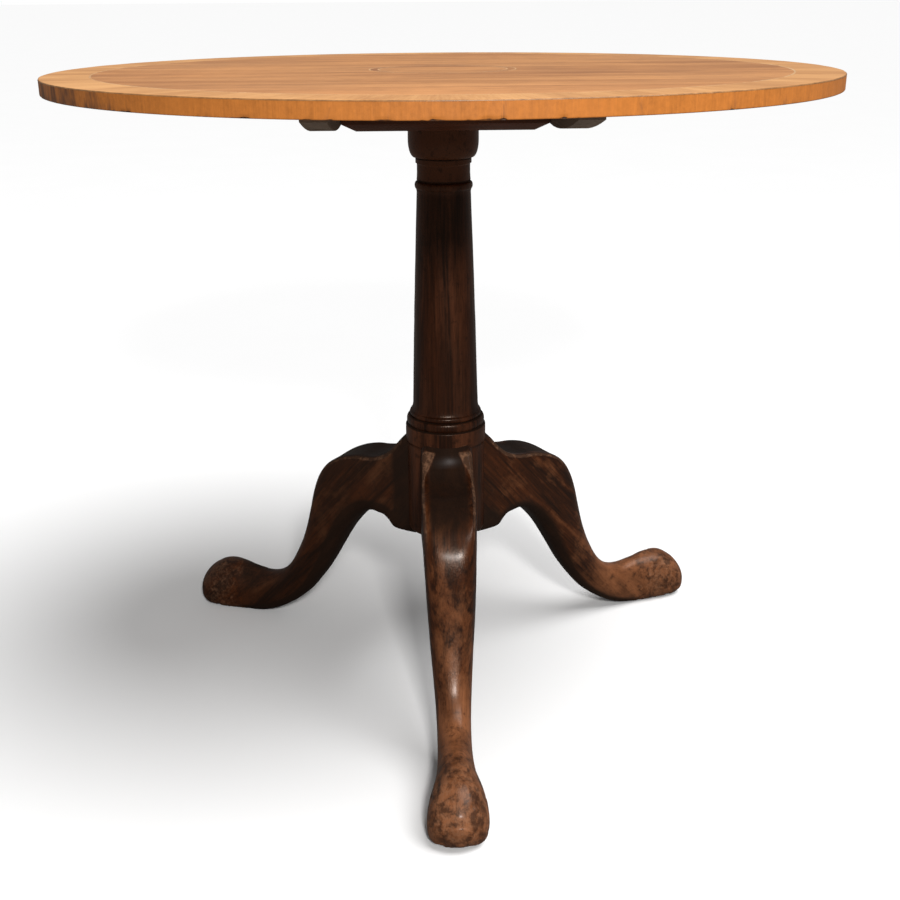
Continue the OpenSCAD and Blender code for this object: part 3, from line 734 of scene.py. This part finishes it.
class TABLE_OT_column(bpy.types.Operator):
    """Turned column, from the hub with its rings to the cup under the block"""

    bl_idname = "table.column"
    bl_label = "Turned column"

    def execute(self, context):
        _, tone = settings()
        block_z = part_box("block")[0].z / MM
        top_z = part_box("column")[1].z / MM
        shaft = np.linspace(0, 1, 9)[1:-1]
        profile = np.concatenate([
            [[1.5, 175], [20, 175]],
            arc([42.3, 188.4], [3.5, 3.6], -62, 0, 6),
            [[45.8, 296.2]],
            arc([45.8, 297.6], [0.9, 1.2], -80, 0, 4),
            arc([45.8, 314.8], [0.8, 1.2], 0, 80, 4),
            [[44.9, 316.4]],
            arc([42.9, 321.9], [2.3, 5.1], -75, 75, 14),
            [[40.1, 327.2]],
            arc([40.1, 330.3], [1.5, 2.7], -85, 85, 10),
            arc([40.6, 345], [3.0, 11.6], -92, -180, 12),
            np.stack([37.6 - 7.9 * shaft + 0.4 * np.sin(np.pi * shaft), 345 + 240 * shaft], 1),
            [[29.7, 585], [30.3, 587.6]],
            arc([30.2, 591.7], [1.6, 3.7], -80, 80, 12),
            [[28.7, 596.0], [29.5, 597.5], [29.2, 601], [29.0, 605.5], [29.0, 613.5]],
            arc([30.5, 613.8], [1.5, 2], 180, 90, 5),
            [[30.5, 619.2], [30.5, 620.9]],
            arc([32.1, 640], [6.3, 18.2], -90, 0, 16),
            [[38.4, 655.6], [37.9, block_z - 0.2], [20, block_z], [20, top_z - 1.2],
             [19, top_z - 0.1], [1.5, top_z - 0.1]]])
        profile = fine_path(profile * MM, 0.0028)
        points = turned(profile, COLUMN_SIDES)
        r, z = profile[:, 0, None], profile[:, 1, None]
        # the wood has shrunk a little across its growth rings, and the turning shows faintly
        angle = np.arctan2(points[..., 1], points[..., 0])
        on_show = step_up(0.19, 0.2, z) * (1 - step_up(0.650, 0.655, z))
        oval, uneven, chip_depth = 0.00016, 0.00012, 0.0011
        dent = oval * np.cos(2 * angle + 0.7) + uneven * lattice_noise(points, 55, 21)
        # a chip out of the hub's upper edge, near the front
        chip = np.exp(-((angle - math.radians(-64)) / 0.085) ** 2) * np.exp(
            -((z - 0.2985) / 0.0016) ** 2)
        scale = 1 + on_show * (dent - chip_depth * chip) / np.maximum(r, 0.01)
        points[..., :2] *= scale[..., None]
        grain = np.stack([points[..., 2], points[..., 0], points[..., 1]], -1)
        finish = np.zeros(points.shape)
        hub = 1 - step_up(0.292, 0.297, z)
        # the quirks between the turned rings are darker, each at a height and of a width
        rings = sum(np.exp(-((z - height) / width) ** 2) for height, width in (
            (0.3165, 0.0011), (0.3274, 0.0009), (0.597, 0.0016), (0.6210, 0.0014),
            (0.5865, 0.0013)))
        # painted shade: the lower shaft is darkened where the lamps light it more
        lower_shaft_shade = step_up(0.328, 0.332, z) * (1 - step_up(0.36, 0.52, z))
        finish[..., 1] = np.clip(0.30 * hub + 0.9 * rings + 0.42 * lower_shaft_shade, 0, 1)
        band = step_up(0.2965, 0.2975, z) * (1 - step_up(0.3155, 0.3165, z))
        finish[..., 0] = np.clip(1.1 * chip + 0.22 * band, 0, 1)
        # painted light: the upper shaft, neck and cup are lightened where the top shades them; the
        # band and hub are lighter too
        finish[..., 2] = (0.28 * band + 0.26 * hub + 0.85 * step_up(0.575, 0.612, z)
                          + 0.18 * step_up(0.40, 0.55, z))
        new_piece("turned_column", points, False, grain, finish, "pedestal",
                  ["column"],
                  polished_wood("Column wood", tone.dark_wood, tone.dark_streak, tone.dark_warm_and_light,
                                tone.worn, (0.4, 0.0, 0.0), 0.26, 0.07, 4.5))
        return {"FINISHED"}


def leg_surface(size, seed, fade_and_shade):
    """One cabriole leg along +X, as a grid of points, with its grain and finish attributes.
    The fade says how much lighter the wood has become towards the foot; below zero it darkens
    the wood there instead, as painted shade.

    A section lies between its upper point T and lower point B. Round it, at angle a, the offset
    is r*(cos a, sin a) with r = (|cos a|^n + |sin a|^n)^(-1/n), a circle made squarer by n. The
    cosine gives the place across the leg, the sine the place from T to B. Near the hub the points
    start on the hub's round face. The top is dished between its two arrises at the root."""
    end = len(LEG_SECTIONS) - 1
    t = np.concatenate([np.linspace(0, end - 1, 10 * (end - 1) + 1),
                        np.linspace(end - 1, end, 16)[1:]])
    rows = smooth_rows(LEG_SECTIONS, t)
    top, low = rows[:, None, 0:2] * MM, rows[:, None, 2:4] * MM
    width, waist = rows[:, 4, None], rows[:, 5, None]
    a = np.linspace(0, 2 * np.pi, LEG_SIDES, endpoint=False)[None]
    square = np.where(np.sin(a) >= 0, rows[:, 6, None], rows[:, 7, None])
    square = np.maximum(square, 2.0)
    reach = (np.abs(np.cos(a)) ** square + np.abs(np.sin(a)) ** square) ** (-1 / square)
    across, rise = reach * np.cos(a), reach * np.sin(a)
    down = np.where(rise >= 0, waist * (1 - rise), waist - (1 - waist) * rise)
    y = LEG_HALF_W * width * across
    place = top + (low - top) * down[..., None]
    out, z = place[..., 0], place[..., 1]
    grow = t[:, None]
    root = 1 - step_up(7.5, 11.0, grow)
    dish = size.dish_depth * root * step_up(0.80, 0.99, rise) * (1 - np.abs(across) ** 2.6)
    z = z - dish
    # start on the hub, and reach in under its turned lower edge
    tuck = TUCK * (1 - step_up(0.180, 0.190, z))
    start = np.sqrt(np.maximum(HUB_R ** 2 - y ** 2, 0)) + 0.0001 - tuck
    first, blend_to = 0.038, 0.060
    out = np.where(out < blend_to, start + (out - first) / (blend_to - first)
                   * (blend_to - start), out)
    points = np.stack([out, y, z], axis=-1)
    # close the toe with rings on a quarter ellipse
    s = np.radians(np.linspace(0, 88, TOE_RINGS + 1))[1:, None, None]
    last = points[-1]
    middle = last.mean(axis=0)
    toe = middle + (last - middle) * np.cos(s) + np.array([TOE_LENGTH, 0, 0]) * np.sin(s)
    points = np.concatenate([points, toe])
    grow, rise, across = (np.concatenate([values, np.repeat(values[-1:], TOE_RINGS, axis=0)])
                          for values in (grow, rise, across))
    # waver and dents, none at the hub
    free = step_up(0.050, 0.075, points[..., 0])
    hand = lattice_noise(points, 28, seed) + 0.5 * lattice_noise(points, 75, seed + 1)
    pit = np.clip(lattice_noise(points, 150, seed + 2) - 0.38, 0, 1)
    foot = step_up(0.275, 0.32, points[..., 0])
    centre = points.mean(axis=1, keepdims=True)
    away = points - centre
    away /= np.linalg.norm(away, axis=-1, keepdims=True) + 1e-9
    worn_sole = foot * (1 - step_up(0.002, 0.009, points[..., 2])) * np.clip(
        lattice_noise(points, 95, seed + 4) + 0.5 * lattice_noise(points, 240, seed + 5), 0, 1)
    bumpy = size.hand_waver * hand * (0.6 + 2.2 * foot) - PIT_DEPTH * pit * foot
    points = points + away * (free * bumpy - SOLE_WEAR * worn_sole)[..., None]
    # the sole lies flat on the floor
    points[..., 2] = np.maximum(points[..., 2], 0.0)
    finish = leg_finish(points, grow, rise, across, foot, pit, worn_sole, fade_and_shade)
    turn = math.radians(48)
    x, y, z = points[..., 0], points[..., 1], points[..., 2]
    grain = np.stack([x * math.cos(turn) - z * math.sin(turn), y,
                      x * math.sin(turn) + z * math.cos(turn)], -1)
    return points, grain + seed * 0.37, finish


def leg_finish(points, grow, rise, across, foot, pit, worn_sole, fade_and_shade):
    """A leg's finish attribute: rubbed corners and foot, painted shade at the root and underneath,
    a painted dark reflection in the dish, dirt on the foot, and wood that lightens towards the
    foot, and darkens there as painted shade when the fade is below zero. Grow is the place along
    LEG_SECTIONS."""
    height = points[..., 2]
    corner = step_up(0.80, 0.93, np.minimum(np.abs(across), rise))
    finish = np.zeros(points.shape)
    knee = 1 - step_up(9.0, 13.0, grow)
    # the polish is gone from both corners of the top near the hub
    patch = (step_up(0.0, 0.16, np.abs(across) - 0.34 - 0.20 * (grow - 0.8))
             * step_up(0.82, 0.95, rise) * step_up(0.5, 0.9, grow) * (1 - step_up(3.0, 4.0, grow)))
    finish[..., 0] = np.clip(0.85 * corner * knee * step_up(0.6, 2.0, grow) + 0.85 * patch
                             + 0.42 * foot
                             + 0.75 * (1 - step_up(0.0015, 0.005, height)) * foot
                             + 0.5 * step_up(0.1, 0.5, worn_sole)
                             + 0.35 * pit, 0, 1)
    # painted shade on the leg's underside
    under = (1 - step_up(-0.85, -0.40, rise)) * (1 - foot)
    # a painted dark reflection in the dish at the root
    dished = ((1 - step_up(7.5, 11.0, grow)) * step_up(0.85, 0.97, rise)
              * (1 - step_up(0.6, 0.95, np.abs(across))) * (1 - patch))
    # painted shade at the root, under the hub's collar
    painted_root_shade = 1 - step_up(0.048, 0.062, points[..., 0])
    finish[..., 1] = np.clip(0.95 * under + 0.85 * dished + 0.45 * painted_root_shade * (1 - patch)
                             + 0.24 * foot + 0.9 * (1 - step_up(0, 0.002, height)) * foot, 0, 1)
    finish[..., 2] = fade_and_shade * step_up(0.165, 0.26, points[..., 0]) - 0.05
    return finish


class TABLE_OT_legs(bpy.types.Operator):
    """Three cabriole legs with dished tops and club feet"""

    bl_idname = "table.legs"
    bl_label = "Cabriole legs"

    def execute(self, context):
        size, tone = settings()
        wood = polished_wood("Leg wood", tone.leg, tone.leg_streak, tone.leg_warm, tone.worn,
                             (0.0, 0.0, 0.0), 0.24, 0.13, 1.4)
        for seed, (node, (angle, fade_and_shade, painted_shade_above_foot)) in enumerate(LEGS.items()):
            points, grain, finish = leg_surface(size, 40 + 7 * seed, fade_and_shade)
            # painted shade darkens the leg everywhere but on the foot
            shin = 1 - step_up(0.29, 0.33, np.hypot(points[..., 0], points[..., 1]))
            finish[..., 1] = np.clip(finish[..., 1] + painted_shade_above_foot * shin, 0, 1)
            turn = np.array(Matrix.Rotation(math.radians(angle), 3, "Z"))
            new_piece(f"cabriole_{node}", points @ turn.T, False, grain, finish, "pedestal",
                      [node], wood, True)
        return {"FINISHED"}


class TABLE_OT_brace(bpy.types.Operator):
    """Iron brace under the hub, with its screws"""

    bl_idname = "table.brace"
    bl_label = "Iron brace"

    def execute(self, context):
        size, tone = settings()
        softened("brace_plate", "brace_plate_soft", size.metal_edge,
                 old_metal("Rusted iron", tone.iron, RUST, 0.5, 0.75))
        dress("brace_screws", bpy.data.materials["Screw steel"])
        return {"FINISHED"}


def studio_light(name, kind, place, power, tint, **values):
    """A lamp of the given kind at a place, turned to face the middle of the table."""
    light = bpy.data.lights.new(name, kind)
    light.energy, light.color = power, tint
    for key, value in values.items():
        setattr(light, key, value)
    lamp = bpy.data.objects.new(name, light)
    lamp.location = place
    aim = Vector((0, 0, 0.4)) - Vector(place)
    lamp.rotation_euler = aim.to_track_quat("-Z", "Y").to_euler()
    bpy.context.scene.collection.objects.link(lamp)


class TABLE_OT_studio(bpy.types.Operator):
    """Floor, soft studio lights and the camera"""

    bl_idname = "table.studio"
    bl_label = "Studio"

    def execute(self, context):
        scene = context.scene
        mesh = bpy.data.meshes.new("studio_floor")
        half = 250.0
        mesh.from_pydata([(-half, -half, 0), (half, -half, 0), (half, half, 0), (-half, half, 0)],
                         [], [(0, 1, 2, 3)])
        # pale to the eye, and dim in the polish and the shaded sides of the dark wood
        f = Finish("Pale floor")
        direct = f.nodes.new("ShaderNodeLightPath").outputs["Is Camera Ray"]
        pale = f.mix(f.noise(f.object_place(), 3.0), (0.92, 0.92, 0.92, 1), (0.94, 0.94, 0.94, 1))
        mesh.materials.append(f.finish(f.mix(direct, (0.16, 0.15, 0.14, 1), pale), 0.85,
                                       Specular_IOR_Level=0.1))
        floor = bpy.data.objects.new("studio_floor", mesh)
        scene.collection.objects.link(floor)

        # the room is dim, so that polished wood stays dark, and only looks white behind the table
        world = bpy.data.worlds.new("Studio")
        world.use_nodes = True
        nodes, links = world.node_tree.nodes, world.node_tree.links
        sky = nodes["Background"]
        sky.inputs["Color"].default_value = (1, 1, 1, 1)
        seen = nodes.new("ShaderNodeMapRange")
        seen.inputs["To Min"].default_value, seen.inputs["To Max"].default_value = 0.17, 1.0
        links.new(nodes.new("ShaderNodeLightPath").outputs["Is Camera Ray"], seen.inputs["Value"])
        links.new(seen.outputs[0], sky.inputs["Strength"])
        scene.world = world
        scene.view_settings.view_transform = "Standard"
        studio_light("key_light", "SUN", (1.05, -0.42, 2.9), 3.1, (1.0, 1.0, 1.0),
                     angle=math.radians(44))
        studio_light("front_softbox", "AREA", (0.30, -2.7, 1.85), 60, (1.0, 0.99, 0.98), size=0.34)

        camera = bpy.data.cameras.new("camera")
        camera.lens, camera.sensor_width = 48.06, 36.0
        camera.shift_y = 0.00256
        camera.clip_end = 600.0
        camera.dof.use_dof = False
        eye = bpy.data.objects.new("camera", camera)
        # turned a little to the right, tipped down and leaning by a hair, all in radians
        yaw, pitch, roll = 0.031, 0.362, -0.007
        right = np.array([math.cos(yaw), -math.sin(yaw), 0])
        ahead = np.array([math.sin(yaw) * math.cos(pitch), math.cos(yaw) * math.cos(pitch),
                          -math.sin(pitch)])
        up = np.cross(right, ahead)
        across = math.cos(roll) * right + math.sin(roll) * up
        upright = math.cos(roll) * up - math.sin(roll) * right
        turn = Matrix([[across[i], upright[i], -ahead[i]] for i in range(3)]).to_4x4()
        eye.matrix_world = Matrix.Translation((-0.0365, -1.3362, 0.7836)) @ turn
        scene.collection.objects.link(eye)
        scene.camera = eye
        return {"FINISHED"}


PIECES = (TABLE_OT_studio, TABLE_OT_veneers, TABLE_OT_border, TABLE_OT_edge, TABLE_OT_core,
          TABLE_OT_block, TABLE_OT_catch, TABLE_OT_column, TABLE_OT_legs, TABLE_OT_brace)


class TABLE_PT_pieces(bpy.types.Panel):
    """The table's sizes, colours and pieces"""

    bl_label = "Tripod table"
    bl_idname = "TABLE_PT_pieces"
    bl_space_type = "VIEW_3D"
    bl_region_type = "UI"
    bl_category = "Tripod table"

    def draw(self, context):
        for group in (context.scene.table_sizes, context.scene.table_colours):
            column = self.layout.column(align=True)
            for key in group.__annotations__:
                column.prop(group, key)
        for piece in PIECES:
            self.layout.operator(piece.bl_idname)


CLASSES = (TableSizes, TableColours, *PIECES, TABLE_PT_pieces)


def register():
    for cls in CLASSES:
        bpy.utils.register_class(cls)
    bpy.types.Scene.table_sizes = PointerProperty(type=TableSizes)
    bpy.types.Scene.table_colours = PointerProperty(type=TableColours)


def unregister():
    del bpy.types.Scene.table_colours
    del bpy.types.Scene.table_sizes
    for cls in reversed(CLASSES):
        bpy.utils.unregister_class(cls)


def main():
    """Registers the add-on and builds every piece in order."""
    register()
    for piece in PIECES:
        group, name = piece.bl_idname.split(".")
        getattr(getattr(bpy.ops, group), name)()


if __name__ == "__main__":
    main()
